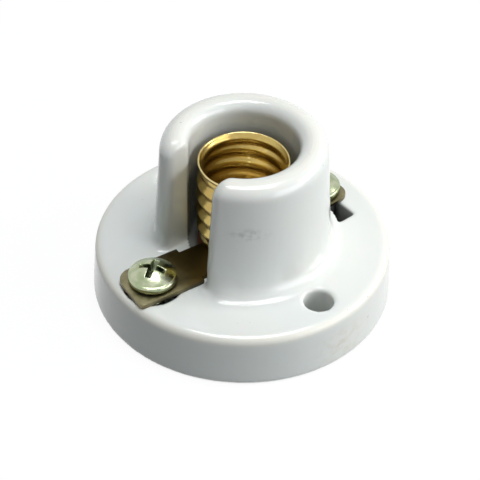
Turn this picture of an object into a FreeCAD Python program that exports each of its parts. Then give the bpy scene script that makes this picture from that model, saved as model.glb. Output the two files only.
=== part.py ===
import FreeCAD, Part

# Lamp holder for a small Edison screw lamp (E14): a glazed porcelain base and tower in one piece, a rolled
# brass screw shell, two plated contact strips and their terminal screws.
# Millimetres. +Z is up, the origin is the centre of the underside, the two terminals lie along X and the two
# fixing holes along Y.

import math
import os

import Sketcher
from FreeCAD import Placement, Rotation, Vector

DIMENSIONS = {
    # porcelain, turned form
    "base_radius": 24.0,
    "base_top_radius": 23.4,
    "base_height": 8.9,
    "base_rim_round": 1.3,
    "base_foot_round": 0.5,
    "tower_foot_radius": 14.1,
    "tower_top_radius": 12.9,
    "holder_height": 29.0,
    "tower_outer_round": 2.4,
    "tower_inner_round": 1.8,
    "socket_radius": 8.5,
    "foot_flare": 2.6,
    "flare_sink": 0.16,
    "flare_end": 146.0,
    "underside_radius": 9.0,
    "underside_height": 3.4,
    "underside_round": 1.0,
    # porcelain, cut-outs
    "slot_half_width": 5.0,
    "slot_edge_round": 1.5,
    "window_half_width": 4.6,
    "window_top": 13.2,
    "window_start": 6.0,
    "window_end": 17.4,
    "well_radius": 4.6,
    "well_floor": 2.8,
    "contact_well_radius": 2.7,
    "groove_half_width": 2.7,
    "groove_start": 3.4,
    "groove_end": 12.2,
    "wire_entry_inner": 13.2,
    "wire_entry_outer": 17.9,
    "wire_entry_near": 6.7,
    "wire_entry_far": 2.3,
    "mount_hole_radius": 2.35,
    "mount_hole_reach": 18.5,
    # screw shell, E14 round thread
    "shell_pitch": 2.822,
    "shell_minor_radius": 6.33,
    "shell_major_radius": 6.98,
    "shell_gauge": 0.35,
    "shell_rise": 15.0,
    "shell_corner_round": 1.0,
    "shell_lip_height": 1.0,
    "shell_lip_flare": 0.2,
    "shell_fade": 1.6,
    "shell_opening_radius": 3.2,
    # shell strip
    "strip_gauge": 0.8,
    "strip_ring_radius": 6.2,
    "strip_neck_half_width": 3.3,
    "strip_half_width": 4.2,
    "strip_shoulder": 11.0,
    "strip_inner_end": 4.6,
    "strip_ring_opening": 3.3,
    "strip_end": 22.3,
    "strip_skew": 6.5,
    "strip_far_round": 2.6,
    "strip_near_round": 0.8,
    "terminal_reach": 17.8,
    "terminal_offset": 0.2,
    # contact strip
    "contact_gauge": 0.6,
    "contact_half_width": 4.2,
    "contact_neck_half_width": 2.5,
    "contact_shoulder": 12.6,
    "contact_end": 20.3,
    "contact_near_round": 2.2,
    "contact_reach": 16.5,
    "contact_offset": 1.0,
    "joggle_start": 9.6,
    "joggle_end": 11.6,
    "tongue_half_width": 1.6,
    "tongue_fold": 2.2,
    "tongue_tip": 2.2,
    "tongue_rise": 4.6,
    "tongue_back": 1.5,
    "fold_round": 0.5,
    # washer
    "washer_gauge": 0.8,
    "washer_radius": 7.2,
    "washer_seat_radius": 7.4,
    "washer_opening": 3.3,
    # rivets
    "rivet_radius": 0.9,
    "rivet_hole_radius": 1.0,
    "rivet_reach": 4.55,
    "contact_rivet_reach": 0.4,
    "rivet_head_radius": 1.2,
    "rivet_head_height": 0.5,
    "rivet_head_rim": 0.15,
    "rivet_tail_radius": 1.6,
    "rivet_tail_height": 0.6,
    # terminal screws, pan head with a cross recess
    "screw_radius": 1.8,
    "screw_clearance": 0.05,
    "screw_length": 6.0,
    "screw_tip_round": 0.4,
    "screw_head_radius": 3.8,
    "screw_head_rim": 0.8,
    "screw_head_height": 2.5,
    "screw_rim_round": 0.3,
    "shell_screw_turn": 32.0,
    "contact_screw_turn": 10.0,
    "screw_gap": 0.4,
    "recess_reach": 2.1,
    "recess_half_width": 0.42,
    "recess_depth": 1.5,
    "collar_radius": 2.5,
    "collar_depth": 1.2,
}

SHELL_GRID_ROUND = 48
SHELL_GRID_PER_PITCH = 10
SHELL_GRID_SPARE = 4
SEW_TOLERANCE = 0.0001
CLOSE = 0.02
FULL_TURN = 360
HALF_TURN = 180

doc = FreeCAD.newDocument("LampHolder")


# ---- the sheet, and sums of its cells --------------------------------------------------------------------


def make_sheet():
    """Put every driving dimension in its own cell, under its own name."""
    sheet = doc.addObject("Spreadsheet::Sheet", "Dimensions")
    for row, (name, size) in enumerate(DIMENSIONS.items(), start=1):
        sheet.set("A%d" % row, name)
        sheet.set("B%d" % row, str(size))
        sheet.setAlias("B%d" % row, name)
    doc.recompute()
    return sheet


def value(total):
    """The number that a sum such as 'base_height + strip_gauge' comes to."""
    result, sign = 0.0, 1
    for word in total.split():
        if word in "+-":
            sign = -1 if word == "-" else 1
            continue
        size = getattr(SHEET, word) if word in DIMENSIONS else float(word)
        result += sign * size
    return result


def cells(total):
    """The same sum as an expression on the sheet's cells."""
    return " ".join("Dimensions." + word if word in DIMENSIONS else word for word in total.split())


def minus(total):
    """The sum with its sign turned round."""
    turned = {"+": "-", "-": "+"}
    words = [turned.get(word, word) for word in total.split()]
    return "0 - " + " ".join(words)


# ---- sketches and features ---------------------------------------------------------------------------------


def new_body(label):
    body = doc.addObject("PartDesign::Body", label)
    body.Label = label
    return body


def new_sketch(body, name, plane, level):
    """An empty sketch on one of the body's own origin planes, moved along the plane's normal."""
    sketch = body.newObject("Sketcher::SketchObject", name)
    origin_plane = [item for item in body.Origin.OriginFeatures if item.Role == plane][0]
    sketch.AttachmentSupport = (origin_plane, "")
    sketch.MapMode = "FlatFace"
    sketch.setExpression("AttachmentOffset.Base.z", cells(level))
    return sketch


def pin(sketch, curve, point, across, up):
    """Hold one point of a curve at its two distances from the sketch's origin."""
    for kind, total in (("DistanceX", across), ("DistanceY", up)):
        index = sketch.addConstraint(Sketcher.Constraint(kind, -1, 1, curve, point, value(total)))
        sketch.setExpression("Constraints[%d]" % index, cells(total))


def arc_between(here, there, centre_across):
    """The shorter arc from here to there whose centre lies at this distance across; and whether it runs
    anticlockwise. The centre's height makes it equally far from both ends."""
    first, second = here.x - centre_across, there.x - centre_across
    centre_up = (second**2 + there.y**2 - first**2 - here.y**2) / (2 * (there.y - here.y))
    centre = Vector(centre_across, centre_up, 0)
    outwards = (here + there) / 2 - centre
    middle = centre + outwards.normalize() * (here - centre).Length
    anticlockwise = (here - centre).cross(there - centre).z > 0
    return Part.Arc(here, middle, there), anticlockwise


def outline(body, name, plane, corners, level="0", arcs=()):
    """A closed outline, each corner pinned by sums of the sheet's cells. A side runs from its own corner to
    the next; it is straight, or an arc where arcs gives it the place of its centre."""
    sketch = new_sketch(body, name, plane, level)
    points = [Vector(value(across), value(up), 0) for across, up in corners]
    arcs = dict(arcs)
    ends = []
    for side, here in enumerate(points):
        there = points[(side + 1) % len(points)]
        forward = True
        curve = Part.LineSegment(here, there)
        if side in arcs:
            curve, forward = arc_between(here, there, value(arcs[side]))
        sketch.addGeometry(curve, False)
        ends.append((1, 2) if forward else (2, 1))
    for side, (start, end) in enumerate(ends):
        after = (side + 1) % len(ends)
        sketch.addConstraint(Sketcher.Constraint("Coincident", side, end, after, ends[after][0]))
        pin(sketch, side, start, *corners[side])
    for side, across in arcs.items():
        index = sketch.addConstraint(Sketcher.Constraint("DistanceX", -1, 1, side, 3, value(across)))
        sketch.setExpression("Constraints[%d]" % index, cells(across))
    return sketch


def rectangle(body, name, plane, low, high, level="0"):
    (left, bottom), (right, top) = low, high
    corners = [(left, bottom), (right, bottom), (right, top), (left, top)]
    return outline(body, name, plane, corners, level)


def circles(body, name, centres, radius, level="0"):
    """Circles of one radius on the body's XY plane."""
    sketch = new_sketch(body, name, "XY_Plane", level)
    for curve, (across, up) in enumerate(centres):
        centre = Vector(value(across), value(up), 0)
        sketch.addGeometry(Part.Circle(centre, Vector(0, 0, 1), value(radius)), False)
        pin(sketch, curve, 3, across, up)
        index = sketch.addConstraint(Sketcher.Constraint("Radius", curve, value(radius)))
        sketch.setExpression("Constraints[%d]" % index, cells(radius))
    return sketch


def feature(body, kind, name, sketch):
    item = body.newObject("PartDesign::" + kind, name)
    item.Profile = sketch
    return item


def pad(body, name, sketch, length, midplane=False):
    item = feature(body, "Pad", name, sketch)
    item.Midplane = midplane
    item.setExpression("Length", cells(length))
    doc.recompute()
    return item


def cut(body, name, sketch, length, upwards=False):
    """A pocket from the sketch's level down, or up, by a length; it must take something away."""
    before = body.Shape.Volume
    item = feature(body, "Pocket", name, sketch)
    item.Reversed = upwards
    item.setExpression("Length", cells(length))
    doc.recompute()
    if not body.Shape.Volume < before - CLOSE:
        raise RuntimeError(name + " cuts nothing")
    return item


def turned(body, name, sketch):
    """A solid turned from a half profile about the body's own Z axis."""
    item = feature(body, "Revolution", name, sketch)
    item.ReferenceAxis = (sketch, ["V_Axis"])
    item.Angle = FULL_TURN
    doc.recompute()
    return item


def rounded(body, name, radius, chosen):
    """Round every edge of the body that the test picks."""
    base = body.Tip
    picked = [index for index, edge in enumerate(base.Shape.Edges, start=1) if chosen(edge)]
    if not picked:
        raise RuntimeError(name + " picks no edge")
    item = body.newObject("PartDesign::Fillet", name)
    item.Base = (base, ["Edge%d" % index for index in picked])
    item.setExpression("Radius", cells(radius))
    doc.recompute()
    return item


def ring_edge(radius, level):
    """A test for a full or part circle about Z, of this radius, at this level."""

    def chosen(edge):
        if edge.Degenerated or not isinstance(edge.Curve, Part.Circle):
            return False
        curve = edge.Curve
        on_axis = math.hypot(curve.Center.x, curve.Center.y) < CLOSE
        return on_axis and abs(curve.Radius - radius) < CLOSE and abs(curve.Center.z - level) < CLOSE

    return chosen


def corner_edge(inside):
    """A test for an upright straight edge whose place passes another test."""

    def chosen(edge):
        box = edge.BoundBox
        upright = box.XLength < CLOSE and box.YLength < CLOSE
        return upright and inside(box.Center)

    return chosen


def cross_edge(across, levels):
    """A test for an edge that runs along Y at this distance along X, at one of these levels."""

    def chosen(edge):
        box = edge.BoundBox
        level = box.XLength < CLOSE and box.ZLength < CLOSE
        near = min(abs(box.Center.z - up) for up in levels) < CLOSE
        return level and near and abs(box.Center.x - across) < CLOSE

    return chosen


def placed(body, across, along, up):
    """Move a body from its own axis to its place in the holder."""
    for name, total in (("x", across), ("y", along), ("z", up)):
        body.setExpression("Placement.Base." + name, cells(total))
    doc.recompute()


# ---- porcelain ---------------------------------------------------------------------------------------------


def make_porcelain():
    """Base and tower turned as one, then cut as the die does."""
    body = new_body("porcelain_body")
    profile = outline(body, "porcelain_profile", "XZ_Plane", [
        ("underside_radius", "0"),
        ("base_radius", "0"),
        ("base_top_radius", "base_height"),
        ("tower_foot_radius", "base_height"),
        ("tower_top_radius", "holder_height"),
        ("socket_radius", "holder_height"),
        ("socket_radius", "base_height"),
        ("washer_seat_radius", "base_height"),
        ("washer_seat_radius", "base_height - washer_gauge"),
        ("0", "base_height - washer_gauge"),
        ("0", "underside_height"),
        ("underside_radius", "underside_height"),
    ])
    turned(body, "porcelain_turned", profile)
    round_rims(body)
    cut_slot(body)
    add_flare(body)
    cut_terminals(body)
    cut_fixings(body)
    return body


def round_rims(body):
    """The rims the glaze runs over: both sides of the tower's top, the base's edge and foot, the underside."""
    top = value("holder_height")
    rounded(body, "tower_outer_rim", "tower_outer_round", ring_edge(value("tower_top_radius"), top))
    rounded(body, "tower_inner_rim", "tower_inner_round", ring_edge(value("socket_radius"), top))
    rounded(body, "base_rim", "base_rim_round", ring_edge(value("base_top_radius"), value("base_height")))
    rounded(body, "base_foot", "base_foot_round", ring_edge(value("base_radius"), 0))
    inner = ring_edge(value("underside_radius"), value("underside_height"))
    rounded(body, "underside_corner", "underside_round", inner)


def cut_slot(body):
    """The tower's open side, from the base's top up, with its edges rounded over the rim and down the walls."""
    walls = rectangle(body, "slot_outline", "XY_Plane",
                      ("0 - base_radius", "0 - slot_half_width"), ("0", "slot_half_width"), "base_height")
    cut(body, "slot", walls, "holder_height", upwards=True)

    def slot_edge(edge):
        box = edge.BoundBox
        flat = box.YLength < CLOSE and box.XMax < 0 and box.ZMax > value("base_height") + CLOSE
        return flat and abs(abs(box.YMin) - value("slot_half_width")) < CLOSE

    rounded(body, "slot_edges", "slot_edge_round", slot_edge)


def add_flare(body):
    """The hollow curve where the tower runs out into the base, turned all round but for the slot."""
    wall = "tower_foot_radius - flare_sink"
    profile = outline(body, "flare_profile", "XZ_Plane", [
        (wall + " - flare_sink", "base_height - flare_sink"),
        (wall + " + foot_flare", "base_height - flare_sink"),
        (wall + " + foot_flare", "base_height"),
        (wall, "base_height + foot_flare"),
        (wall + " - flare_sink", "base_height + foot_flare"),
    ], arcs={2: wall + " + foot_flare"})
    item = turned(body, "flare", profile)
    item.Midplane = True
    item.setExpression("Angle", cells("flare_end + flare_end"))
    doc.recompute()


def cut_terminals(body):
    """Room for the metal: wells under the screws, the contact strip's groove and window, the wire's way up."""
    well = circles(body, "well_outline", [("0 - terminal_reach", "terminal_offset")], "well_radius",
                   "base_height")
    cut(body, "well", well, "base_height - well_floor")
    well = circles(body, "contact_well_outline", [("contact_reach", "contact_offset")], "contact_well_radius",
                   "base_height")
    cut(body, "contact_well", well, "base_height - well_floor")
    window = rectangle(body, "window_outline", "XY_Plane",
                       ("window_start", "contact_offset - window_half_width"),
                       ("window_end", "contact_offset + window_half_width"), "base_height")
    cut(body, "window", window, "window_top - base_height", upwards=True)
    groove = rectangle(body, "groove_outline", "XY_Plane", ("0 - groove_start", "0 - groove_half_width"),
                       ("groove_end", "groove_half_width"), "base_height")
    cut(body, "groove", groove, "washer_gauge + contact_gauge")
    entry = rectangle(body, "wire_entry_outline", "XY_Plane", ("wire_entry_inner", "0 - wire_entry_near"),
                      ("wire_entry_outer", "0 - wire_entry_far"), "base_height")
    cut(body, "wire_entry", entry, "base_height")


def cut_fixings(body):
    """Two fixing holes through the base, and the rivets' holes through the socket's floor."""
    holes = circles(body, "mount_hole_outline", [("0", "mount_hole_reach"), ("0", "0 - mount_hole_reach")],
                    "mount_hole_radius", "base_height")
    cut(body, "mount_holes", holes, "base_height")
    rivets = circles(body, "rivet_hole_outline",
                     [("0", "rivet_reach"), ("0", "0 - rivet_reach"), ("contact_rivet_reach", "0")],
                     "rivet_hole_radius", "base_height")
    cut(body, "rivet_holes", rivets, "base_height")


# ---- screw shell -------------------------------------------------------------------------------------------


def smooth(share):
    """Rise gently from 0 to 1."""
    share = min(max(share, 0.0), 1.0)
    return share * share * (3 - 2 * share)


def thread_skin(low, high, grow):
    """One side of the rolled wall, in two half turns. Its radius is the thread's mean plus half its depth
    times cos(2 pi z / pitch - angle): a right-hand round thread, which dies away into a plain band at both
    ends. Each half is drawn a little past its two edges and then trimmed back to them."""
    pitch = value("shell_pitch")
    mean = (value("shell_minor_radius") + value("shell_major_radius")) / 2 + grow
    depth = (value("shell_major_radius") - value("shell_minor_radius")) / 2
    levels = round((high - low) / pitch * SHELL_GRID_PER_PITCH)

    def on_thread(turn, level):
        angle = 2 * math.pi * turn / SHELL_GRID_ROUND
        up = low + (high - low) * level / levels
        strength = smooth((up - low) / value("shell_fade")) * smooth((high - up) / value("shell_fade"))
        radius = mean + depth * strength * math.cos(2 * math.pi * up / pitch - angle)
        return Vector(radius * math.cos(angle), radius * math.sin(angle), up)

    halves = []
    for first in (0, SHELL_GRID_ROUND // 2):
        last = first + SHELL_GRID_ROUND // 2
        turns = range(first - SHELL_GRID_SPARE, last + SHELL_GRID_SPARE + 1)
        surface = Part.BSplineSurface()
        surface.interpolate([[on_thread(turn, level) for level in range(levels + 1)] for turn in turns])
        start = surface.parameter(on_thread(first, 0))[0]
        end = surface.parameter(on_thread(last, 0))[0]
        halves.append(surface.toShape(start, end, *surface.bounds()[2:]))
    return halves


def spun(points, rounds=()):
    """Faces spun about Z, in two half turns, from a line through points of (radius, height); rounds gives the
    middle point of each stretch that is an arc."""
    rounds = dict(rounds)
    places = [Vector(radius, 0, up) for radius, up in points]
    edges = []
    for stretch, (here, there) in enumerate(zip(places, places[1:])):
        if stretch in rounds:
            radius, up = rounds[stretch]
            edges.append(Part.Arc(here, Vector(radius, 0, up), there).toShape())
        else:
            edges.append(Part.makeLine(here, there))
    line = Part.Wire(edges)
    faces = []
    for start in (0, HALF_TURN):
        from_here = line.rotated(Vector(0, 0, 0), Vector(0, 0, 1), start)
        faces += from_here.revolve(Vector(0, 0, 0), Vector(0, 0, 1), HALF_TURN).Faces
    return faces


def quarter(centre, radius, angle):
    """The point at an angle, in degrees, on a circle in the half section."""
    turn = math.radians(angle)
    return centre[0] + radius * math.cos(turn), centre[1] + radius * math.sin(turn)


def in_hole(face, places):
    """Whether a face is a disc, or part of one, that a rivet hole takes out of the shell's bottom."""
    centre = face.CenterOfMass
    flat = face.BoundBox.ZLength < CLOSE
    radius = value("rivet_hole_radius")
    return flat and any(math.hypot(centre.x - at.x, centre.y - at.y) < radius for at in places)


def make_shell():
    """One sheet of brass: a turned-in bottom with its opening, a rounded corner, the rolled thread and a
    plain lip that opens out a little."""
    gauge = value("shell_gauge")
    mean = (value("shell_minor_radius") + value("shell_major_radius")) / 2
    bottom = value("base_height + strip_gauge")
    top = bottom + value("shell_rise")
    bend = value("shell_corner_round")
    opening = value("shell_opening_radius")
    low, high = bottom + bend, top - value("shell_lip_height")
    middle = (mean + gauge - bend, low)
    inner_bend = bend - gauge
    lip = mean + value("shell_lip_flare")
    foot = spun([
        (mean, low),
        (middle[0], bottom + gauge),
        (opening, bottom + gauge),
        (opening, bottom),
        (middle[0], bottom),
        (mean + gauge, low),
    ], rounds={0: quarter(middle, inner_bend, -45), 4: quarter(middle, bend, -45)})
    rim = spun([
        (mean, high),
        (lip, top - gauge / 2),
        (lip + gauge, top - gauge / 2),
        (mean + gauge, high),
    ], rounds={1: (lip + gauge / 2, top)})
    faces = foot + rim + thread_skin(low, high, 0) + thread_skin(low, high, gauge)
    places = [Vector(0, side * value("rivet_reach"), bottom) for side in (1, -1)]
    holes = [Part.makeCylinder(value("rivet_hole_radius"), gauge, place).Faces[0] for place in places]
    joined = faces[0].generalFuse(faces[1:] + holes, SEW_TOLERANCE)[0]
    skin = Part.makeCompound([face for face in joined.Faces if not in_hole(face, places)])
    skin.sewShape(SEW_TOLERANCE)
    solid = Part.makeSolid(skin.Shells[0])
    if solid.Volume < 0:
        solid.reverse()
    shell = doc.addObject("Part::Feature", "screw_shell")
    shell.Label = "screw_shell"
    shell.Shape = solid
    shell.Placement = Placement()
    return shell


# ---- strips and washer -------------------------------------------------------------------------------------


def tapped_collar(body, across, along, bottom):
    """The screw's thread in a strip: a collar drawn down out of the sheet, and the hole through both."""
    collar = circles(body, "collar_outline", [(across, along)], "collar_radius", bottom + " - collar_depth")
    pad(body, "collar", collar, "collar_depth")
    hole = circles(body, "screw_hole_outline", [(across, along)], "screw_radius + screw_clearance",
                   bottom + " - collar_depth")
    cut(body, "screw_hole", hole, "collar_depth + strip_gauge", upwards=True)


def make_shell_strip():
    """A ring under the shell and a tongue out through the slot, which stands a little askew."""
    body = new_body("shell_strip")
    ring = circles(body, "ring_outline", [("0", "0")], "strip_ring_radius", "base_height")
    pad(body, "ring", ring, "strip_gauge")
    tongue = outline(body, "tongue_outline", "XY_Plane", [
        ("terminal_reach - strip_end", "0 - strip_half_width"),
        ("terminal_reach - strip_shoulder", "0 - strip_half_width"),
        ("terminal_reach - strip_shoulder", "0 - strip_neck_half_width"),
        ("terminal_reach - strip_inner_end", "0 - strip_neck_half_width"),
        ("terminal_reach - strip_inner_end", "strip_neck_half_width"),
        ("terminal_reach - strip_shoulder", "strip_neck_half_width"),
        ("terminal_reach - strip_shoulder", "strip_half_width"),
        ("terminal_reach - strip_end", "strip_half_width"),
    ], "base_height")
    skew = Rotation(Vector(0, 0, 1), -value("strip_skew"))
    tongue.AttachmentOffset = Placement(Vector(0, 0, 0), skew)
    tongue.setExpression("AttachmentOffset.Base.x", cells("0 - terminal_reach"))
    tongue.setExpression("AttachmentOffset.Base.y", cells("terminal_offset"))
    pad(body, "tongue", tongue, "strip_gauge")
    outer = value("0 - terminal_reach - screw_radius")
    rounded(body, "far_corner", "strip_far_round", corner_edge(lambda at: at.x < outer and at.y > 0))
    rounded(body, "near_corner", "strip_near_round",
            corner_edge(lambda at: at.x < value("0 - terminal_reach - screw_head_radius") and at.y < 0))
    tapped_collar(body, "0 - terminal_reach", "terminal_offset", "base_height")
    opening = circles(body, "opening_outline", [("0", "0")], "strip_ring_opening", "base_height")
    cut(body, "opening", opening, "strip_gauge", upwards=True)
    holes = circles(body, "rivet_hole_outline", [("0", "rivet_reach"), ("0", "0 - rivet_reach")],
                    "rivet_hole_radius", "base_height")
    cut(body, "rivet_holes", holes, "strip_gauge", upwards=True)
    return body


def make_contact_strip():
    """One sheet: the centre contact folded up and over, a run along the groove, a joggle up through the
    window and the terminal outside."""
    body = new_body("contact_strip")
    low = "base_height - washer_gauge - contact_gauge"
    high = "base_height - washer_gauge"
    fold = "0 - tongue_fold"
    section = outline(body, "strip_section", "XZ_Plane", [
        ("contact_end", "base_height"),
        ("contact_end", "base_height + contact_gauge"),
        ("joggle_end", "base_height + contact_gauge"),
        ("joggle_start", high),
        (fold + " + contact_gauge", high),
        (fold + " + contact_gauge", low + " + tongue_back"),
        ("tongue_tip", low + " + tongue_rise - contact_gauge"),
        ("tongue_tip", low + " + tongue_rise"),
        (fold, low + " + tongue_back + contact_gauge"),
        (fold, low),
        ("joggle_start + contact_gauge", low),
        ("joggle_end + contact_gauge", "base_height"),
    ])
    widest = "contact_half_width + contact_offset"
    pad(body, "strip_sheet", section, widest + " + " + widest, midplane=True)
    inner, neck = fold + " - contact_gauge", "contact_neck_half_width"
    near = "contact_offset - contact_half_width"
    waste = outline(body, "near_waste_outline", "XY_Plane", [
        (inner, "0 - strip_ring_radius"),
        ("contact_end + contact_gauge", "0 - strip_ring_radius"),
        ("contact_end + contact_gauge", near),
        ("contact_shoulder", near),
        ("contact_shoulder", "0 - " + neck),
        (inner, "0 - " + neck),
    ])
    cut(body, "near_waste", waste, "holder_height", upwards=True)
    waste = rectangle(body, "far_waste_outline", "XY_Plane", (inner, neck),
                      ("contact_shoulder", "strip_ring_radius"))
    cut(body, "far_waste", waste, "holder_height", upwards=True)
    for name, low_side, high_side in (("near", "0 - strip_ring_radius", "0 - tongue_half_width"),
                                      ("far", "tongue_half_width", "strip_ring_radius")):
        waste = rectangle(body, name + "_tongue_waste_outline", "XY_Plane", (inner, low_side),
                          ("strip_ring_radius", high_side), high)
        cut(body, name + "_tongue_waste", waste, "holder_height", upwards=True)
    rounded(body, "near_corner", "contact_near_round",
            corner_edge(lambda at: at.x > value("contact_end") - CLOSE and at.y < 0))
    rounded(body, "far_corner", "strip_near_round",
            corner_edge(lambda at: at.x > value("contact_end") - CLOSE and at.y > 0))
    folds = [value(low), value(low + " + tongue_back + contact_gauge")]
    rounded(body, "tongue_folds", "fold_round", cross_edge(value(fold), folds))
    tapped_collar(body, "contact_reach", "contact_offset", "base_height")
    hole = circles(body, "rivet_hole_outline", [("contact_rivet_reach", "0")], "rivet_hole_radius", high)
    cut(body, "rivet_hole", hole, "contact_gauge")
    return body


def make_washer():
    """A fibre ring that keeps the shell's strip off the contact strip below it."""
    body = new_body("insulating_washer")
    level = "base_height - washer_gauge"
    disc = circles(body, "disc_outline", [("0", "0")], "washer_radius", level)
    pad(body, "disc", disc, "washer_gauge")
    opening = circles(body, "opening_outline", [("0", "0")], "washer_opening", level)
    cut(body, "opening", opening, "washer_gauge", upwards=True)
    holes = circles(body, "rivet_hole_outline", [("0", "rivet_reach"), ("0", "0 - rivet_reach")],
                    "rivet_hole_radius", level)
    cut(body, "rivet_holes", holes, "washer_gauge", upwards=True)
    return body


# ---- rivets and screws -------------------------------------------------------------------------------------


def make_rivet(label, across, along, seat):
    """A set rivet: a low head on the metal, a shank through the floor and a rolled tail under it."""
    body = new_body(label)
    tail, floor = "underside_height - rivet_tail_height", "underside_height"
    profile = outline(body, "rivet_profile", "XZ_Plane", [
        ("0", tail),
        ("rivet_tail_radius", tail),
        ("rivet_tail_radius", floor),
        ("rivet_radius", floor),
        ("rivet_radius", seat),
        ("rivet_head_radius", seat),
        ("rivet_head_radius", seat + " + rivet_head_rim"),
        ("0", seat + " + rivet_head_height"),
    ], arcs={6: "0"})
    turned(body, "rivet_turned", profile)
    rounded(body, "tail_round", "rivet_head_rim", ring_edge(value("rivet_tail_radius"), value(tail)))
    placed(body, across, along, "0")
    return body


def make_screw(label, across, along, seat, turn):
    """A pan head screw on its own axis: flat under the head, a low rim, a domed top and a cross recess."""
    body = new_body(label)
    head = "screw_length + screw_head_rim"
    profile = outline(body, "screw_profile", "XZ_Plane", [
        ("0", "0"),
        ("screw_radius - screw_tip_round", "0"),
        ("screw_radius", "screw_tip_round"),
        ("screw_radius", "screw_length"),
        ("screw_head_radius", "screw_length"),
        ("screw_head_radius", head),
        ("0", "screw_length + screw_head_height"),
    ], arcs={5: "0"})
    turned(body, "screw_turned", profile)
    rounded(body, "rim_round", "screw_rim_round", ring_edge(value("screw_head_radius"), value(head)))
    reach, half = "recess_reach", "recess_half_width"
    cross = outline(body, "recess_outline", "XY_Plane", [
        (reach, minus(half)), (reach, half), (half, half), (half, reach), (minus(half), reach),
        (minus(half), half), (minus(reach), half), (minus(reach), minus(half)),
        (minus(half), minus(half)), (minus(half), minus(reach)), (half, minus(reach)), (half, minus(half)),
    ], "screw_length + screw_head_height")
    cut(body, "recess", cross, "recess_depth")
    body.Placement = Placement(Vector(0, 0, 0), Rotation(Vector(0, 0, 1), value(turn)))
    placed(body, across, along, seat + " + screw_gap - screw_length")
    return body


def save(bodies):
    """Check every object and every sub-part, then write one STEP file for each sub-part."""
    doc.recompute()
    for item in doc.Objects:
        if "Invalid" in item.State or "Error" in item.State:
            raise RuntimeError(item.Name + " failed: " + ", ".join(item.State))
    os.makedirs("parts", exist_ok=True)
    for body in bodies:
        shape = body.Shape
        if shape.isNull() or not shape.isValid():
            raise RuntimeError(body.Label + " has no valid shape")
        shape.exportStep("parts/" + body.Label + ".step")
        print(body.Label, round(shape.Volume, 2), len(shape.Solids))


SHEET = make_sheet()
shell_seat = "base_height + strip_gauge + shell_gauge"
save([
    make_porcelain(),
    make_shell(),
    make_shell_strip(),
    make_contact_strip(),
    make_washer(),
    make_rivet("shell_rivet_near", "0", "0 - rivet_reach", shell_seat),
    make_rivet("shell_rivet_far", "0", "rivet_reach", shell_seat),
    make_rivet("contact_rivet", "contact_rivet_reach", "0", "base_height - washer_gauge"),
    make_screw("shell_terminal_screw", "0 - terminal_reach", "terminal_offset", "base_height + strip_gauge",
               "shell_screw_turn"),
    make_screw("contact_terminal_screw", "contact_reach", "contact_offset", "base_height + contact_gauge",
               "contact_screw_turn"),
])
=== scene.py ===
import math

import bmesh
import bpy
import numpy as np
from mathutils import Matrix, Vector


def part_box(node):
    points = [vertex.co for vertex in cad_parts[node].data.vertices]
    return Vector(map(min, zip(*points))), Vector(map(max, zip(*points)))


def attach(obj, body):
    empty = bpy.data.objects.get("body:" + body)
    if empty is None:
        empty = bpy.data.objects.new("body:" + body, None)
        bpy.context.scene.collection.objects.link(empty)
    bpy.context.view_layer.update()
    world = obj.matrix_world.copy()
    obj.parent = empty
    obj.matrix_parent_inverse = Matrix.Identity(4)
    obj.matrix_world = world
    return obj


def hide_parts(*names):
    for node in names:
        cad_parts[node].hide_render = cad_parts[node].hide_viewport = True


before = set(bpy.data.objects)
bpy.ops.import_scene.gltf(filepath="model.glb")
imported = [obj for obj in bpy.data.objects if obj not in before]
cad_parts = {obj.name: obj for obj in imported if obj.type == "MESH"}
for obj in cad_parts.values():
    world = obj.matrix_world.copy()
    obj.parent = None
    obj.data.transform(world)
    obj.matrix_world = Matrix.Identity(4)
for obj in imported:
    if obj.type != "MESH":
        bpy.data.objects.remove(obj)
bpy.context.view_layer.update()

# A porcelain lamp holder with a rolled brass screw shell. Lengths are in metres, and MM turns a size in
# millimetres into metres. The frame's own boxes give the levels and sides that the pieces are built on.
MM = 0.001
TURN = 2 * math.pi

BODY_LOW, BODY_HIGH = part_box("porcelain_body")
SHELL_LOW, SHELL_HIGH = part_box("screw_shell")
# The washer's top is level with the base's.
BASE_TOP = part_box("insulating_washer")[1].z

# The porcelain: the even grid that it is drawn on again, and how its points are eased after that.
GLAZE_GRID = 0.32 * MM
EASE_SHARE = 0.5
EASE_ROUNDS = 6
# The two ends of the flare round the tower's foot, 34 degrees off the slot, where the glaze fills the step:
# the end on the +Y side, the rounds of filling, and its weight within each distance from an end.
FLARE_END = (-12.0 * MM, 8.1 * MM, 9.9 * MM)
FILL_ROUNDS = 90
FILL_WEIGHTS = ((3.6 * MM, 0.25), (3.1 * MM, 0.5), (2.7 * MM, 0.75), (2.3 * MM, 1.0))
# The rings on which the glaze runs thin, round the base's edge and along the tower's rim: radius, level and
# reach. The tower's is half as strong.
BASE_RIM = (23.5 * MM, 8.6 * MM, 1.3 * MM)
TOWER_RIM = (10.8 * MM, BODY_HIGH.z, 2.2 * MM)
TOWER_RIM_SHARE = 0.5
THIN_STRENGTH = 1.4
# The wire's way through the base, whose walls are darkened with painted shade: its middle, half its size, how
# far below the top of the base the painted shade starts, and how far it takes to fade.
WIRE_HOLE = np.array((15.5, -4.5)) * MM
WIRE_HOLE_HALF = np.array((2.25, 2.1)) * MM
WIRE_HOLE_EDGE = 0.35 * MM
PAINTED_SHADE_FADE = 0.3 * MM
# The painted shade on the bore's wall behind the shell, which darkens from the level of the shell's lip
# downwards.
BORE_SHADE_RADIUS = 8.75 * MM
BORE_SHADE_DEPTH = 6 * MM
BORE_SHADE_SHARE = 0.75
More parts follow.
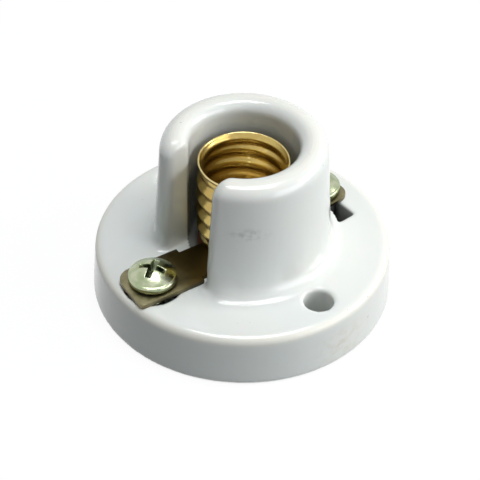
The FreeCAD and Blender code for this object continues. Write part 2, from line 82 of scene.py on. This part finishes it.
# Where the glaze is rubbed grey on the tower's front, and where the base's side is stained: the middle of
# each spot, and its reach along X, Y and Z.
TOWER_RADIUS = 13.6 * MM
RUB_ANGLE = math.radians(54)
RUB_SPOT = (-TOWER_RADIUS * math.cos(RUB_ANGLE), -TOWER_RADIUS * math.sin(RUB_ANGLE), 21 * MM)
RUB_REACH = (4 * MM, 4 * MM, 1.6 * MM)
STAIN_SPOT = (0.6 * MM, BODY_LOW.y, 3 * MM)
STAIN_REACH = (7 * MM, 7 * MM, 4.5 * MM)

# The shell's rolled round thread in the small lamp size, its lip, and the corner and opening of its bottom.
SHELL_PITCH = 2.822 * MM
SHELL_MINOR = 6.33 * MM
SHELL_MAJOR = 6.98 * MM
SHELL_MEAN = (SHELL_MINOR + SHELL_MAJOR) / 2
SHELL_HALF_DEPTH = (SHELL_MAJOR - SHELL_MINOR) / 2
SHELL_GAUGE = 0.35 * MM
SHELL_LIP_FLARE = 0.2 * MM
SHELL_LIP_HEIGHT = 1.0 * MM
SHELL_FADE = 1.6 * MM
SHELL_CORNER = 1.0 * MM
SHELL_OPENING = 3.2 * MM
SHELL_OPENING_ROUND = 0.1 * MM
SHELL_COLUMNS = 256
SHELL_LEVELS = 150

# The stamped strips: the round that the press leaves on their edges, the least angle between two faces that
# it rounds, the least that stays sharp in the shading, and how far the painted shade reaches out from the
# shell.
SHELL_STRIP_ROUND = 0.12 * MM
CONTACT_STRIP_ROUND = 0.1 * MM
ROUNDED_ANGLE = math.radians(35)
SHARP_ANGLE = math.radians(50)
STRIP_SHADE_REACH = (19 * MM, 19 * MM, 19 * MM)

# The terminal screws: a domed pan head with a cross recess, and a machine thread below it.
SCREW_COLUMNS = 192
SCREW_POLE = 0.02 * MM
SCREW_SHANK = 1.8 * MM
SCREW_TIP = 0.8 * SCREW_SHANK
SCREW_TIP_SIDE = (0.84 * SCREW_SHANK, 0.25 * MM)
SCREW_TAPER = 0.15
SCREW_TAPER_START = 0.2 * MM
SCREW_TAPER_LENGTH = 0.5 * MM
SCREW_PITCH = 0.6 * MM
SCREW_THREAD_DEPTH = 0.3 * MM
SCREW_THREAD_START = 0.45 * MM
SCREW_THREAD_GAP = 0.35 * MM
SCREW_THREAD_FADE = 0.6 * MM
SCREW_THREAD_LEVELS = 80
SCREW_NECK_ROUND = 0.1 * MM
SCREW_HEAD = 3.8 * MM
SCREW_HEAD_ROUND = 0.15 * MM
SCREW_RIM = 0.8 * MM
SCREW_RIM_ROUND = 0.35 * MM
SCREW_HEAD_HEIGHT = 2.5 * MM
SCREW_CROWN_RINGS = 96
RECESS_REACH = 2.15 * MM
RECESS_HALF = 0.42 * MM
RECESS_DEPTH = 1.5 * MM
RECESS_SLOPE = 0.22 * MM
RECESS_FALL = 0.62
RECESS_MIDDLE = 1.15 * RECESS_HALF
RECESS_SHADE = 0.65
RECESS_SHADE_DEPTH = 0.3 * MM
SHELL_SCREW_TURN = math.radians(32)
CONTACT_SCREW_TURN = math.radians(10)

# The camera: a long lens that looks down at the holder's front left. Its target is a little to the left of
# the lamp's axis, and its shift is a share of the frame's width.
CAMERA_AZIMUTH = math.radians(-40)
CAMERA_ELEVATION = 0.7246
CAMERA_ROLL = 0.0189
CAMERA_DISTANCE = 288 * MM
CAMERA_LENS = 135.468
CAMERA_SHIFT = (1 / 960, -1 / 240)
TARGET_ACROSS = -0.473 * MM
TARGET_HEIGHT = 8.69 * MM

# The soft boxes: name, place, width, depth, watts and colour.
SOFT_BOXES = (
    ("overhead_near", (0.0, -0.07, 0.52), 0.3, 0.07, 0.88, "FAFDFF"),
    ("overhead_far", (0.07, 0.04, 0.52), 0.3, 0.07, 0.82, "FAFDFF"),
    ("right", (0.36, -0.25, 0.19), 0.2, 0.2, 0.98, "FFFCF6"),
    ("front", (0.13, -0.39, 0.1), 0.3, 0.3, 0.78, "F8FBFF"),
)
ROOM_STRENGTH = 0.18

# The floor: half its width, how far it lies below the holder, and the white of its own that it shows the
# camera: none under the holder, and in full from just inside the base's edge outwards.
FLOOR_REACH = 3.0
FLOOR_DROP = 0.05 * MM
FLOOR_WHITE_STRENGTH = 1.55
FLOOR_WHITE_SHARE = 0.6
FLOOR_WHITE_START = BODY_HIGH.x - 1.2 * MM
FLOOR_WHITE_FULL = BODY_HIGH.x - 0.2 * MM


# ---- node helpers ------------------------------------------------------------------------------------------


def linear(code):
    """An sRGB hex colour as linear red, green, blue and alpha."""
    shares = [int(code[at:at + 2], 16) / 255 for at in (0, 2, 4)]
    bent = [share / 12.92 if share <= 0.04045 else ((share + 0.055) / 1.055) ** 2.4 for share in shares]
    return (*bent, 1.0)


def add_node(tree, kind, **values):
    """Add one shader node. A value is for the node's property or socket of that name. A socket is named by
    its label in lower case with _ for a space, or by its number as in input_1. It takes a plain value, a hex
    colour, another node's output, or another node, which stands for its first output."""
    node = tree.nodes.new("ShaderNode" + kind)
    sockets = {socket.name.lower().replace(" ", "_"): socket for socket in reversed(node.inputs)}
    sockets.update({"input_%d" % at: socket for at, socket in enumerate(node.inputs)})
    for name, value in values.items():
        if isinstance(value, bpy.types.Node):
            value = value.outputs[0]
        if name not in sockets:
            setattr(node, name, value)
        elif isinstance(value, bpy.types.NodeSocket):
            tree.links.new(value, sockets[name])
        elif isinstance(value, str):
            sockets[name].default_value = linear(value)
        else:
            sockets[name].default_value = value
    return node


def new_material(name):
    """An empty material with its node tree and the object's own coordinates."""
    material = bpy.data.materials.new(name)
    material.use_nodes = True
    material.node_tree.nodes.clear()
    place = add_node(material.node_tree, "TexCoord").outputs["Object"]
    return material, material.node_tree, place


def finish_material(tree, **values):
    """Close a material with one Principled shader."""
    shader = add_node(tree, "BsdfPrincipled", **values)
    add_node(tree, "OutputMaterial", surface=shader)


def patches(tree, place, size, detail, low, high, bottom=0.0, top=1.0):
    """Soft patches about this size, in metres: noise taken from low..high to bottom..top and held there."""
    cloud = add_node(tree, "TexNoise", vector=place, scale=1 / size, detail=detail)
    return add_node(tree, "MapRange", value=cloud, from_min=low, from_max=high, to_min=bottom, to_max=top)


def near(tree, place, spot, reach):
    """1 within a fifth of these distances from a spot along X, Y and Z, falling to 0 at the full ones."""
    apart = add_node(tree, "VectorMath", operation="SUBTRACT", input_0=place, input_1=spot)
    share = add_node(tree, "VectorMath", operation="DIVIDE", input_0=apart, input_1=reach)
    far = add_node(tree, "VectorMath", operation="LENGTH", input_0=share).outputs["Value"]
    return add_node(tree, "MapRange", value=far, from_min=0.2, from_max=1, to_min=1, to_max=0)


def coated(tree, ground, *coats):
    """A ground colour under coats that lie over one another, each a share from 0 to 1 and its hex colour."""
    for share, colour in coats:
        coat = add_node(tree, "Mix", data_type="RGBA", input_0=share, input_6=ground, input_7=colour)
        ground = coat.outputs[2]
    return ground


def grained(tree, place, size, detail, smoothest, roughest, depth):
    """The fine grain of a worked surface, about this size in metres: the grain as a share from 0 to 1, the
    roughness that it gives between two bounds, and its bump of this depth in metres."""
    grain = add_node(tree, "TexNoise", vector=place, scale=1 / size, detail=detail)
    share = add_node(tree, "MapRange", value=grain, from_min=0.3, from_max=0.7)
    roughness = add_node(tree, "MapRange", value=grain, from_min=0.3, from_max=0.7,
                         to_min=smoothest, to_max=roughest)
    normal = add_node(tree, "Bump", strength=1.0, distance=depth, height=grain)
    return share, roughness, normal


# ---- mesh helpers ------------------------------------------------------------------------------------------


def smooth(share):
    """3 s^2 - 2 s^3, which rises gently from 0 to 1."""
    share = np.clip(share, 0, 1)
    return share * share * (3 - 2 * share)


def arc(centre, radius, first, last, count):
    """Points on a circle in the half section: centre + radius (cos a, sin a), angles in degrees."""
    angle = np.radians(np.linspace(first, last, count))
    return np.stack([centre[0] + radius * np.cos(angle), centre[1] + radius * np.sin(angle)], 1)


def steps_round(columns):
    """The angles of equal steps round one turn."""
    return np.arange(columns) * TURN / columns


def rings(profile, columns):
    """A profile of (radius, height) rows, each the same at every step round Z."""
    return np.repeat(np.asarray(profile)[:, None, :], columns, axis=1)


def turned(rows):
    """Rows of (radius, height) at equal steps round Z, as points: x = r cos a, y = r sin a, z = height."""
    angle = steps_round(rows.shape[1])
    radius, height = rows[..., 0], rows[..., 1]
    return np.stack([radius * np.cos(angle), radius * np.sin(angle), height], -1).reshape(-1, 3)


def ring_faces(rows, columns):
    """Quads between neighbouring rows of points, where the last column meets the first."""
    row, column = np.meshgrid(np.arange(rows - 1), np.arange(columns), indexing="ij")
    row, column = row.ravel(), column.ravel()
    after = (column + 1) % columns
    here, there = row * columns, (row + 1) * columns
    return np.stack([here + column, here + after, there + after, there + column], 1)


def shade_smooth(mesh):
    """Shade every face of a mesh smooth."""
    mesh.polygons.foreach_set("use_smooth", [True] * len(mesh.polygons))


def mesh_object(name, points, faces, material):
    """An object at the origin from an array of points and an array, or a list, of faces."""
    mesh = bpy.data.meshes.new(name)
    mesh.from_pydata(points.tolist(), [], [list(face) for face in faces])
    mesh.validate()
    mesh.update()
    item = bpy.data.objects.new(name, mesh)
    bpy.context.scene.collection.objects.link(item)
    shade_smooth(mesh)
    mesh.materials.append(material)
    return item


def points_of(item):
    """A mesh's points as rows of x, y and z."""
    flat = np.empty(3 * len(item.data.vertices), dtype=np.float32)
    item.data.vertices.foreach_get("co", flat)
    return flat.reshape(-1, 3)


def paint(item, name, shares):
    """Keep a number from 0 to 1 with each point of a mesh, for a material to read."""
    layer = item.data.attributes.new(name, "FLOAT", "POINT")
    layer.data.foreach_set("value", np.clip(shares, 0, 1).astype(np.float32).ravel())


def merged_copy(node, name, material):
    """A copy of a CAD node's mesh with its loose triangles joined."""
    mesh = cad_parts[node].data.copy()
    mesh.name = name
    item = bpy.data.objects.new(name, mesh)
    bpy.context.scene.collection.objects.link(item)
    work = bmesh.new()
    work.from_mesh(mesh)
    bmesh.ops.remove_doubles(work, verts=work.verts, dist=0.002 * MM)
    work.to_mesh(mesh)
    work.free()
    mesh.materials.clear()
    mesh.materials.append(material)
    return item


def apply_modifiers(item):
    """Put the result of an object's modifiers into its mesh."""
    result = bpy.data.meshes.new_from_object(item.evaluated_get(bpy.context.evaluated_depsgraph_get()))
    item.modifiers.clear()
    item.data = result


def stand_for(item, node, body):
    """Let a piece take a CAD node's place on its body."""
    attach(item, body)
    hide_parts(node)


# ---- materials ---------------------------------------------------------------------------------------------


def glazed_porcelain():
    """Dry-pressed electrical porcelain under a clear glaze: white with a cool cast, creamier and duller where
    the glaze runs thin over a rim, with a few kiln specks and a hardly visible waviness in the glaze. It is
    rubbed grey on the tower and stained on the base's side, and it has painted shade in the wire's way and
    deep in the bore."""
    material, tree, place = new_material("glazed_porcelain")
    cloud = patches(tree, place, 14 * MM, 2, 0.35, 0.65)
    thin = add_node(tree, "Attribute", attribute_name="thin_glaze").outputs["Fac"]
    speck = add_node(tree, "Math", operation="MULTIPLY",
                     input_0=patches(tree, place, 0.8 * MM, 1, 0.76, 0.8),
                     input_1=patches(tree, place, 9 * MM, 1, 0.58, 0.64))
    rub = add_node(tree, "Math", operation="MULTIPLY",
                   input_0=patches(tree, place, 0.9 * MM, 3, 0.42, 0.66, 0, 0.5),
                   input_1=near(tree, place, RUB_SPOT, RUB_REACH))
    stain = add_node(tree, "Math", operation="MULTIPLY",
                     input_0=patches(tree, place, 1.3 * MM, 4, 0.45, 0.65, 0, 0.3),
                     input_1=near(tree, place, STAIN_SPOT, STAIN_REACH))
    # Painted shade: dark in the wire's way, and deepening down the bore behind the shell.
    painted_shade = add_node(tree, "Attribute", attribute_name="painted_shade").outputs["Fac"]
    colour = coated(tree, "E3E7E5", (cloud, "E7E8E4"), (thin, "EEECE2"), (speck, "BDBCB4"),
                    (rub, "A4A9A8"), (stain, "C8BDA2"), (painted_shade, "2B312D"))
    roughness = add_node(tree, "MapRange", value=thin, from_min=0.45, from_max=0.7, to_min=0.16, to_max=0.4)
    wave = add_node(tree, "TexNoise", vector=place, scale=1 / (3.2 * MM), detail=1)
    normal = add_node(tree, "Bump", strength=1.0, distance=0.015 * MM, height=wave)
    finish_material(tree, base_color=colour, roughness=roughness, ior=1.5, normal=normal,
                    subsurface_weight=0.06, subsurface_scale=1.2 * MM, coat_weight=0.25, coat_roughness=0.08)
    return material


def rolled_brass():
    """Sheet brass, drawn and thread-rolled, which leaves fine lines round it, drawn 0.1 mm apart so that they
    show. It has slightly browner patches, is brown in the hollows, and is pale on the crests and the lip,
    where it is worn."""
    material, tree, place = new_material("rolled_brass")
    along = add_node(tree, "Mapping", vector=place, scale=(1, 1, 14))
    lines = patches(tree, along, 1.4 * MM, 3, 0.3, 0.7, 0.2, 0.27)
    stain = patches(tree, place, 5 * MM, 3, 0.35, 0.7)
    edge = add_node(tree, "NewGeometry").outputs["Pointiness"]
    hollow = add_node(tree, "MapRange", value=edge, from_min=0.44, from_max=0.5, to_min=0.7, to_max=0)
    worn = add_node(tree, "MapRange", value=edge, from_min=0.51, from_max=0.57, to_min=0, to_max=0.85)
    colour = coated(tree, "C9B470", (stain, "BA9F5C"), (hollow, "9F7A60"), (worn, "F1E6B6"))
    finish_material(tree, base_color=colour, metallic=1.0, roughness=lines)
    return material


def dulled_plate():
    """Stamped steel strip whose yellow zinc plate has dulled: beige at its outer end, with painted shade
    that turns it dark brown towards the shell. The sheet's grain is drawn coarser than it is, so that it
    shows."""
    material, tree, place = new_material("dulled_plate")
    patch = patches(tree, place, 3.5 * MM, 3, 0.35, 0.65)
    # Painted shade: the strip darkens to brown towards the shell.
    close = near(tree, place, (0, 0, BASE_TOP), STRIP_SHADE_REACH)
    strip_shade = add_node(tree, "MapRange", value=close, from_min=0.05, from_max=0.42)
    colour = coated(tree, "69634A", (patch, "878164"), (strip_shade, "4A3F22"))
    _, roughness, normal = grained(tree, place, 0.35 * MM, 2, 0.28, 0.42, 0.008 * MM)
    finish_material(tree, base_color=colour, metallic=1.0, roughness=roughness, normal=normal)
    return material


def yellow_zinc():
    """Yellow-passivated zinc plate on a steel screw: bright, with a greenish film, and with painted shade in
    the recess. Its grain is drawn coarser than it is, so that it shows."""
    material, tree, place = new_material("yellow_zinc")
    film = patches(tree, place, 1.8 * MM, 2, 0.35, 0.65)
    # The painted shade in the recess, kept on the screw's points.
    recess = add_node(tree, "Attribute", attribute_name="recess").outputs["Fac"]
    colour = coated(tree, "9AA883", (film, "BCC1A6"), (recess, "3F4736"))
    _, roughness, normal = grained(tree, place, 0.25 * MM, 2, 0.16, 0.26, 0.006 * MM)
    finish_material(tree, base_color=colour, metallic=1.0, roughness=roughness, normal=normal)
    return material


def vulcanised_fibre():
    """Pressed red-brown fibre board: matt, with short fibres in its face."""
    material, tree, place = new_material("vulcanised_fibre")
    along = add_node(tree, "Mapping", vector=place, scale=(1, 5, 1))
    fibres = add_node(tree, "TexNoise", vector=along, scale=1 / (1.2 * MM), detail=4)
    colour = coated(tree, "5A2D1E", (fibres, "7A4632"))
    normal = add_node(tree, "Bump", strength=1.0, distance=0.02 * MM, height=fibres)
    finish_material(tree, base_color=colour, roughness=0.75, normal=normal)
    return material


def set_brass():
    """The rivets' brass, dulled by handling and marked by the setting punch."""
    material, tree, place = new_material("set_brass")
    marks, roughness, normal = grained(tree, place, 0.5 * MM, 3, 0.3, 0.45, 0.02 * MM)
    colour = coated(tree, "B08F4E", (marks, "8E6C36"))
    finish_material(tree, base_color=colour, metallic=1.0, roughness=roughness, normal=normal)
    return material


# ---- porcelain ---------------------------------------------------------------------------------------------


def rim_share(ring, level, rim):
    """1 on a rim's ring, falling to 0 at its reach: 1 - distance in the half section / reach."""
    return 1 - np.hypot(ring - rim[0], level - rim[1]) / rim[2]


def make_porcelain(material):
    """The turned and cut form with every edge softened, as glaze leaves it: the solid is drawn again on a
    fine even grid, and its points are then eased towards their neighbours, most of all at the flare's ends.
    The thin glaze, and the shade in the wire's way and the bore, are painted on its points from their
    distances to the rims and the holes."""
    item = merged_copy("porcelain_body", "glazed_body", material)
    even = item.modifiers.new("even", "REMESH")
    even.mode = "VOXEL"
    even.voxel_size = GLAZE_GRID
    apply_modifiers(item)

    x, y, z = points_of(item).T
    pooled = item.vertex_groups.new(name="pooled_glaze")
    apart = np.sqrt((x - FLARE_END[0]) ** 2 + (np.abs(y) - FLARE_END[1]) ** 2 + (z - FLARE_END[2]) ** 2)
    for reach, weight in FILL_WEIGHTS:
        pooled.add(np.flatnonzero(apart < reach).tolist(), weight, "REPLACE")
    for name, rounds, group in (("ease", EASE_ROUNDS, ""), ("fill", FILL_ROUNDS, "pooled_glaze")):
        ease = item.modifiers.new(name, "SMOOTH")
        ease.factor = EASE_SHARE
        ease.iterations = rounds
        ease.vertex_group = group
    apply_modifiers(item)
    shade_smooth(item.data)

    x, y, z = points_of(item).T
    ring = np.hypot(x, y)
    thin = np.maximum(rim_share(ring, z, BASE_RIM), TOWER_RIM_SHARE * rim_share(ring, z, TOWER_RIM))
    paint(item, "thin_glaze", THIN_STRENGTH * thin)
    # Painted shade in the wire's way: full inside the hole below the base's top, fading over a short
    # distance.
    past_x = np.abs(x - WIRE_HOLE[0]) - WIRE_HOLE_HALF[0]
    past_y = np.abs(y - WIRE_HOLE[1]) - WIRE_HOLE_HALF[1]
    outside = np.maximum(np.maximum(past_x, past_y), z - BASE_TOP + WIRE_HOLE_EDGE)
    # Painted shade on the bore's wall behind the shell, growing from the shell's lip downwards.
    bore_shade = BORE_SHADE_SHARE * smooth((SHELL_HIGH.z - z) / BORE_SHADE_DEPTH) * (ring < BORE_SHADE_RADIUS)
    paint(item, "painted_shade", np.maximum(1 - outside / PAINTED_SHADE_FADE, bore_shade))
    stand_for(item, "porcelain_body", "holder")


# ---- brass shell -------------------------------------------------------------------------------------------


def shell_radius(angle, height, grow):
    """mean + half depth * strength * cos(2 pi z / pitch - angle), a right-hand round thread that dies away at
    both ends: to a plain band below, and above to a neck, half a depth in, that opens out to the lip. Grow
    is 0 for the inside of the wall and the gauge for its outside."""
    low = SHELL_LOW.z + SHELL_CORNER
    high = SHELL_HIGH.z - SHELL_LIP_HEIGHT
    strength = smooth((height - low) / SHELL_FADE) * smooth((high - height) / SHELL_FADE)
    wave = np.cos(TURN * height / SHELL_PITCH - angle)
    neck = SHELL_HALF_DEPTH * smooth((height - high + SHELL_FADE) / SHELL_FADE)
    lip = (SHELL_LIP_FLARE + SHELL_HALF_DEPTH) * smooth((height - high) / SHELL_LIP_HEIGHT)
    return SHELL_MEAN + grow + SHELL_HALF_DEPTH * strength * wave - neck + lip


def make_shell(material):
    """One closed skin: up the inside of the wall, over the rounded lip, down the outside, round the bottom
    corner, in to the bottom's opening and back out. Every row is a ring of points about Z, and the rows are
    taken in the other order, so that the faces point outwards."""
    bend, gauge = SHELL_CORNER, SHELL_GAUGE
    low, high = SHELL_LOW.z + bend, SHELL_HIGH.z - gauge / 2
    angle = steps_round(SHELL_COLUMNS)
    climb = np.linspace(low, high, SHELL_LEVELS)

    def wall(heights, grow):
        tall = np.broadcast_to(heights[:, None], (len(heights), SHELL_COLUMNS))
        return np.stack([shell_radius(angle[None, :], tall, grow), tall], -1)

    corner = (SHELL_MEAN + gauge - bend, low)
    lip = (SHELL_MEAN + SHELL_LIP_FLARE + gauge / 2, high)
    opening = [
        (SHELL_OPENING + SHELL_OPENING_ROUND, SHELL_LOW.z),
        (SHELL_OPENING, SHELL_LOW.z + SHELL_OPENING_ROUND),
        (SHELL_OPENING, SHELL_LOW.z + gauge - SHELL_OPENING_ROUND),
        (SHELL_OPENING + SHELL_OPENING_ROUND, SHELL_LOW.z + gauge),
    ]
    rows = np.concatenate([
        rings(arc(corner, bend - gauge, first=-90, last=-8, count=8), SHELL_COLUMNS),
        wall(climb, 0),
        rings(arc(lip, gauge / 2, first=157, last=23, count=7), SHELL_COLUMNS),
        wall(climb[::-1], gauge),
        rings(arc(corner, bend, first=-8, last=-90, count=10), SHELL_COLUMNS),
        rings(opening, SHELL_COLUMNS),
    ])[::-1]
    last = (len(rows) - 1) * SHELL_COLUMNS
    column = np.arange(SHELL_COLUMNS)
    after = (column + 1) % SHELL_COLUMNS
    closing = np.stack([last + column, last + after, after, column], 1)
    faces = np.concatenate([ring_faces(len(rows), SHELL_COLUMNS), closing])
    item = mesh_object("rolled_shell", turned(rows), faces, material)
    stand_for(item, "screw_shell", "holder")


# ---- strips, washer and rivets -----------------------------------------------------------------------------


def make_strip(node, name, press_round, material):
    """A stamped strip: the CAD form with the press's small round on its edges."""
    item = merged_copy(node, name, material)
    edges = item.modifiers.new("press_round", "BEVEL")
    edges.width = press_round
    edges.segments = 3
    edges.limit_method = "ANGLE"
    edges.angle_limit = ROUNDED_ANGLE
    edges.harden_normals = True
    apply_modifiers(item)
    shade_smooth(item.data)
    item.data.set_sharp_from_angle(angle=SHARP_ANGLE)
    stand_for(item, node, "holder")


def dress(material, *nodes):
    """Give CAD nodes that stay as they are their finish."""
    for node in nodes:
        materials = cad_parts[node].data.materials
        materials.clear()
        materials.append(material)


# ---- terminal screws ---------------------------------------------------------------------------------------


def recess_depth(x, y):
    """The cross recess as a depth: two crossed slots with sloping walls and ends, and a deeper middle.
    depth = whole depth * smooth wall across each arm * a floor that falls towards the centre."""

    def arm(along, across):
        wall = smooth((RECESS_HALF + RECESS_SLOPE / 2 - np.abs(across)) / RECESS_SLOPE)
        floor = np.clip((RECESS_REACH - np.abs(along)) / (RECESS_FALL * RECESS_REACH), 0, 1)
        return wall * floor

    middle = smooth((RECESS_MIDDLE + RECESS_SLOPE - np.hypot(x, y)) / RECESS_SLOPE)
    return RECESS_DEPTH * np.maximum(np.maximum(arm(x, y), arm(y, x)), middle)


def make_screw(node, body, turn, name, material):
    """Head and shank as one skin about the screw's own axis, then set in its place. The top is a height over
    polar rings: dome(r) - recess(x, y), where dome(r) = rim + rise * (1 - (r / R)^2). The shank's radius is
    r - depth * |2 p - 1|, a V thread, where p is the fractional part of z / pitch - angle / turn."""
    low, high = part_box(node)
    centre = Vector(((low.x + high.x) / 2, (low.y + high.y) / 2, low.z))
    angle = steps_round(SCREW_COLUMNS)
    all_round = np.ones(SCREW_COLUMNS)
    top = high.z - low.z
    under = top - SCREW_HEAD_HEIGHT
    rise = SCREW_HEAD_HEIGHT - SCREW_RIM
    inner = SCREW_HEAD - SCREW_RIM_ROUND

    def dome(radius):
        return under + SCREW_RIM + rise * (1 - (radius / SCREW_HEAD) ** 2)

    radii = np.linspace(inner, SCREW_POLE, SCREW_CROWN_RINGS)[:, None] * all_round
    recess = recess_depth(radii * np.cos(angle), radii * np.sin(angle))
    crown = np.stack([radii, dome(radii) - recess], -1)

    thread_end = under - SCREW_THREAD_GAP
    climb = np.linspace(SCREW_THREAD_START, thread_end, SCREW_THREAD_LEVELS)[:, None] * all_round
    phase = (climb / SCREW_PITCH - angle / TURN) % 1.0
    fade = smooth((thread_end - climb) / SCREW_THREAD_FADE)
    cut = SCREW_THREAD_DEPTH * fade * np.abs(2 * phase - 1)
    full = smooth((climb - SCREW_TAPER_START) / SCREW_TAPER_LENGTH)
    thread = np.stack([(SCREW_SHANK - cut) * (1 - SCREW_TAPER + SCREW_TAPER * full), climb], -1)

    tip = [(SCREW_POLE, 0.0), (SCREW_TIP, 0.0), SCREW_TIP_SIDE]
    head = [
        (SCREW_SHANK, under - SCREW_NECK_ROUND),
        (SCREW_SHANK + SCREW_NECK_ROUND, under),
        (SCREW_HEAD - SCREW_HEAD_ROUND, under),
        (SCREW_HEAD, under + SCREW_HEAD_ROUND),
    ]
    rim = arc((inner, dome(inner) - SCREW_RIM_ROUND), SCREW_RIM_ROUND, first=0, last=78, count=8)
    rows = np.concatenate([
        rings(tip, SCREW_COLUMNS),
        thread,
        rings(head, SCREW_COLUMNS),
        rings(rim, SCREW_COLUMNS),
        crown,
    ])
    last = (len(rows) - 1) * SCREW_COLUMNS
    faces = ring_faces(len(rows), SCREW_COLUMNS).tolist()
    faces.append(list(range(SCREW_COLUMNS))[::-1])
    faces.append(list(range(last, last + SCREW_COLUMNS)))
    item = mesh_object(name, turned(rows), faces, material)
    # Painted shade in the recess, darkest where it is deepest.
    shade = np.zeros(rows.shape[:2])
    shade[-SCREW_CROWN_RINGS:] = RECESS_SHADE * smooth(recess / RECESS_SHADE_DEPTH)
    paint(item, "recess", shade)
    item.data.transform(Matrix.Translation(centre) @ Matrix.Rotation(turn, 4, "Z"))
    stand_for(item, node, body)


# ---- studio ------------------------------------------------------------------------------------------------


def make_camera():
    """A long lens well back from the holder, looking down at its front left."""
    camera = bpy.data.cameras.new("camera")
    camera.sensor_width = 36
    camera.lens = CAMERA_LENS
    camera.shift_x, camera.shift_y = CAMERA_SHIFT
    camera.clip_start = 0.01
    item = bpy.data.objects.new("camera", camera)
    bpy.context.scene.collection.objects.link(item)
    across = Vector((math.cos(CAMERA_AZIMUTH), math.sin(CAMERA_AZIMUTH), 0))
    away = Vector((math.sin(CAMERA_AZIMUTH), -math.cos(CAMERA_AZIMUTH), 0))
    target = across * TARGET_ACROSS + Vector((0, 0, TARGET_HEIGHT))
    back = away * math.cos(CAMERA_ELEVATION) + Vector((0, 0, math.sin(CAMERA_ELEVATION)))
    up = back.cross(across)
    right = across * math.cos(CAMERA_ROLL) + up * math.sin(CAMERA_ROLL)
    upward = up * math.cos(CAMERA_ROLL) - across * math.sin(CAMERA_ROLL)
    place = Matrix((right, upward, back)).transposed().to_4x4()
    place.translation = target + back * CAMERA_DISTANCE
    item.matrix_world = place
    bpy.context.scene.camera = item


def add_lamp(name, place, wide, deep, power, colour):
    """A soft box that faces the middle of the holder, its width level and across the camera's view."""
    lamp = bpy.data.lights.new(name, "AREA")
    lamp.shape = "RECTANGLE"
    lamp.size = wide
    lamp.size_y = deep
    lamp.energy = power
    lamp.color = linear(colour)[:3]
    item = bpy.data.objects.new(name, lamp)
    bpy.context.scene.collection.objects.link(item)
    back = (Vector(place) - Vector((0, 0, BODY_HIGH.z / 2))).normalized()
    up = back.cross(Vector((math.cos(CAMERA_AZIMUTH), math.sin(CAMERA_AZIMUTH), 0))).normalized()
    item.matrix_world = Matrix((up.cross(back), up, back)).transposed().to_4x4()
    item.matrix_world.translation = place


def background_rays(tree):
    """1 for what the camera sees straight, in a reflection or through glass, and 0 for light on things."""
    ray = add_node(tree, "LightPath").outputs
    seen = add_node(tree, "Math", operation="MAXIMUM", input_0=ray["Is Camera Ray"],
                    input_1=ray["Is Glossy Ray"])
    return add_node(tree, "Math", operation="MAXIMUM", input_0=seen, input_1=ray["Is Transmission Ray"])


def make_room():
    """A dim cool room that lights the holder, and is white for the camera and in reflections."""
    world = bpy.data.worlds.new("studio")
    bpy.context.scene.world = world
    world.use_nodes = True
    tree = world.node_tree
    tree.nodes.clear()
    room = add_node(tree, "Background", color="EEF4F6", strength=ROOM_STRENGTH)
    white = add_node(tree, "Background", color="FFFFFF", strength=1.0)
    shown = add_node(tree, "MixShader", input_0=background_rays(tree), input_1=room, input_2=white)
    add_node(tree, "OutputWorld", surface=shown)


def make_floor():
    """A paper floor that takes the holder's soft shadow, and is partly white of its own where the camera sees
    it. Under the holder it is paper alone, so that the holes stay dark."""
    material, tree, place = new_material("white_floor")
    white = add_node(tree, "Emission", color="FFFFFF", strength=FLOOR_WHITE_STRENGTH)
    paper = add_node(tree, "BsdfDiffuse", color="7C7F7D")
    away = add_node(tree, "VectorMath", operation="LENGTH", input_0=place).outputs["Value"]
    open_floor = add_node(tree, "MapRange", value=away, from_min=FLOOR_WHITE_START,
                          from_max=FLOOR_WHITE_FULL, to_min=0, to_max=FLOOR_WHITE_SHARE)
    share = add_node(tree, "Math", operation="MULTIPLY", input_0=background_rays(tree), input_1=open_floor)
    shown = add_node(tree, "MixShader", input_0=share, input_1=paper, input_2=white)
    add_node(tree, "OutputMaterial", surface=shown)
    corners = FLOOR_REACH * np.array([(-1, -1, 0), (1, -1, 0), (1, 1, 0), (-1, 1, 0)])
    floor = mesh_object("floor", corners, [(0, 1, 2, 3)], material)
    floor.location.z = -FLOOR_DROP


# ---- the holder --------------------------------------------------------------------------------------------

bpy.context.scene.view_settings.view_transform = "Standard"
make_porcelain(glazed_porcelain())
make_shell(rolled_brass())
plate = dulled_plate()
make_strip("shell_strip", "terminal_strip", SHELL_STRIP_ROUND, plate)
make_strip("contact_strip", "centre_contact", CONTACT_STRIP_ROUND, plate)
dress(vulcanised_fibre(), "insulating_washer")
dress(set_brass(), "shell_rivet_near", "shell_rivet_far", "contact_rivet")
zinc = yellow_zinc()
make_screw("shell_terminal_screw", "shell_screw", SHELL_SCREW_TURN, "shell_terminal_pan_head", zinc)
make_screw("contact_terminal_screw", "contact_screw", CONTACT_SCREW_TURN, "contact_terminal_pan_head", zinc)
make_camera()
make_room()
make_floor()
for soft_box in SOFT_BOXES:
    add_lamp(*soft_box)
